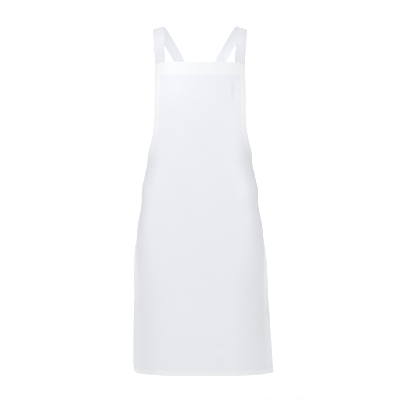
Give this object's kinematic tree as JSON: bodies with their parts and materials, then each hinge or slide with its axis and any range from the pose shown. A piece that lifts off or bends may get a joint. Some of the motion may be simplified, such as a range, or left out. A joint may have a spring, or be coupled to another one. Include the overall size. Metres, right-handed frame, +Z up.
{
  "type": "butcher apron",
  "caption": "White waterproof butcher apron with a plain bib and long skirt, worn form, with wide straps that cross at the back and clip to the waist corners.",
  "frame": {"origin": "midway between the two straps, level with their undersides on top of the shoulders", "axes": "+Z up, front of the apron towards -Y, +X to the right seen from the front"},
  "size_m": [0.4819, 0.2579, 1.1851],
  "materials": {
    "coated_cloth": "smooth coated, satin",
    "webbing": "woven, matt",
    "buckle_plastic": "moulded, satin",
    "thread": "twisted thread"
  },
  "bodies": {
    "apron": {"apron_panel": "coated_cloth", "bib_top_facing": "coated_cloth", "left_armhole_hem": "coated_cloth", "right_armhole_hem": "coated_cloth", "left_side_hem": "coated_cloth", "right_side_hem": "coated_cloth", "bottom_hem": "coated_cloth", "left_waist_patch": "coated_cloth", "right_waist_patch": "coated_cloth", "left_strap_stitch": "thread", "right_strap_stitch": "thread", "left_tab_stitch": "thread", "right_tab_stitch": "thread", "left_shoulder_strap": "coated_cloth", "left_waist_tab": "webbing", "left_buckle_socket": "buckle_plastic", "right_shoulder_strap": "coated_cloth", "right_waist_tab": "webbing", "right_buckle_socket": "buckle_plastic"},
    "left_plug": {"left_buckle_plug": "buckle_plastic"},
    "left_slider": {"left_strap_slider": "buckle_plastic", "left_strap_return": "coated_cloth"},
    "left_prong_lower": {"left_buckle_prong_lower": "buckle_plastic"},
    "left_prong_upper": {"left_buckle_prong_upper": "buckle_plastic"},
    "right_plug": {"right_buckle_plug": "buckle_plastic"},
    "right_slider": {"right_strap_slider": "buckle_plastic", "right_strap_return": "coated_cloth"},
    "right_prong_lower": {"right_buckle_prong_lower": "buckle_plastic"},
    "right_prong_upper": {"right_buckle_prong_upper": "buckle_plastic"}
  },
  "joints": [
    {"name": "left_buckle_release", "type": "slide", "parent": "apron", "child": "left_plug", "axis": [0.3919, 0.3542, 0.8491], "range_m": [0, 0.028], "deforming": ["left_strap_return", "left_buckle_prong_lower", "left_buckle_prong_upper"]},
    {"name": "left_slider_slide", "type": "slide", "parent": "apron", "child": "left_slider", "axis": [0.3919, 0.3542, 0.8491], "range_m": [-0.01, 0.026], "deforming": ["left_strap_return"]},
    {"name": "left_prong_lower_press", "type": "hinge", "parent": "left_plug", "child": "left_prong_lower", "pos_m": [-0.091, 0.03231, -0.44222], "axis": [-0.6011, 0.7973, -0.0552], "range_deg": [0, 9.5], "stiffness_Nm_per_rad": 0.3},
    {"name": "left_prong_upper_press", "type": "hinge", "parent": "left_plug", "child": "left_prong_upper", "pos_m": [-0.11301, 0.01687, -0.42562], "axis": [0.6011, -0.7973, 0.0552], "range_deg": [0, 9.5], "stiffness_Nm_per_rad": 0.3},
    {"name": "right_buckle_release", "type": "slide", "parent": "apron", "child": "right_plug", "axis": [-0.3919, 0.3542, 0.8491], "range_m": [0, 0.028], "deforming": ["right_strap_return", "right_buckle_prong_lower", "right_buckle_prong_upper"]},
    {"name": "right_slider_slide", "type": "slide", "parent": "apron", "child": "right_slider", "axis": [-0.3919, 0.3542, 0.8491], "range_m": [-0.01, 0.026], "deforming": ["right_strap_return"]},
    {"name": "right_prong_lower_press", "type": "hinge", "parent": "right_plug", "child": "right_prong_lower", "pos_m": [0.091, 0.03231, -0.44222], "axis": [-0.6011, -0.7973, 0.0552], "range_deg": [0, 9.5], "stiffness_Nm_per_rad": 0.3},
    {"name": "right_prong_upper_press", "type": "hinge", "parent": "right_plug", "child": "right_prong_upper", "pos_m": [0.11301, 0.01687, -0.42562], "axis": [0.6011, 0.7973, -0.0552], "range_deg": [0, 9.5], "stiffness_Nm_per_rad": 0.3}
  ]
}
